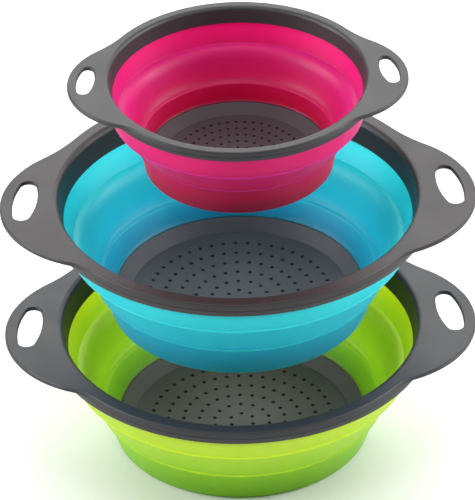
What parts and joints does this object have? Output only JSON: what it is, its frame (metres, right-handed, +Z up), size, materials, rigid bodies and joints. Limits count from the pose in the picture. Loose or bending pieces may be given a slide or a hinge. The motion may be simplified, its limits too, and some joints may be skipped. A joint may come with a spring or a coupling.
{
  "type": "collapsible colander set",
  "caption": "Set of collapsible silicone colanders, one above another: slotted-ear rim frames, stepped folding walls and perforated bases.",
  "frame": {"origin": "on the floor, under the middle of the lowest bowl", "axes": "+Z up along the centre line of the two large bowls (the small bowl's is 1.6 mm to the right), +X through the ears, +Y towards the back"},
  "size_m": [0.352, 0.29, 0.3122],
  "materials": {
    "rim_plastic": "satin",
    "base_plastic": "matt",
    "green_silicone": "satin",
    "blue_silicone": "satin",
    "pink_silicone": "satin"
  },
  "bodies": {
    "green_base": {"green_lower_band": "green_silicone", "green_base_ring": "base_plastic", "green_strainer_plate": "base_plastic"},
    "green_middle": {"green_middle_band": "green_silicone"},
    "green_rim": {"green_handle_frame": "rim_plastic", "green_clamp_ring": "rim_plastic", "green_upper_band": "green_silicone"},
    "blue_base": {"blue_lower_band": "blue_silicone", "blue_base_ring": "base_plastic", "blue_strainer_plate": "base_plastic"},
    "blue_middle": {"blue_middle_band": "blue_silicone"},
    "blue_rim": {"blue_handle_frame": "rim_plastic", "blue_clamp_ring": "rim_plastic", "blue_upper_band": "blue_silicone"},
    "pink_base": {"pink_lower_band": "pink_silicone", "pink_base_ring": "base_plastic", "pink_strainer_plate": "base_plastic"},
    "pink_middle": {"pink_middle_band": "pink_silicone"},
    "pink_rim": {"pink_handle_frame": "rim_plastic", "pink_clamp_ring": "rim_plastic", "pink_upper_band": "pink_silicone"}
  },
  "joints": [
    {"name": "green_fold", "type": "slide", "parent": "green_base", "child": "green_rim", "axis": [0, 0, -1], "range_m": [0, 0.056]},
    {"name": "green_middle_fold", "type": "slide", "parent": "green_base", "child": "green_middle", "axis": [0, 0, -1], "range_m": [0, 0.028]},
    {"name": "blue_lift", "type": "slide", "parent": "green_rim", "child": "blue_base", "axis": [0, 0, 1], "range_m": [0, 0.15]},
    {"name": "blue_fold", "type": "slide", "parent": "blue_base", "child": "blue_rim", "axis": [0, 0, -1], "range_m": [0, 0.056]},
    {"name": "blue_middle_fold", "type": "slide", "parent": "blue_base", "child": "blue_middle", "axis": [0, 0, -1], "range_m": [0, 0.028]},
    {"name": "pink_lift", "type": "slide", "parent": "blue_rim", "child": "pink_base", "axis": [0, 0, 1], "range_m": [0, 0.15]},
    {"name": "pink_fold", "type": "slide", "parent": "pink_base", "child": "pink_rim", "axis": [0, 0, -1], "range_m": [0, 0.0424]},
    {"name": "pink_middle_fold", "type": "slide", "parent": "pink_base", "child": "pink_middle", "axis": [0, 0, -1], "range_m": [0, 0.0212]}
  ],
  "couplings": [
    {"joint": "green_middle_fold", "follows": "green_fold", "ratio": 0.5},
    {"joint": "blue_middle_fold", "follows": "blue_fold", "ratio": 0.5},
    {"joint": "pink_middle_fold", "follows": "pink_fold", "ratio": 0.5}
  ]
}
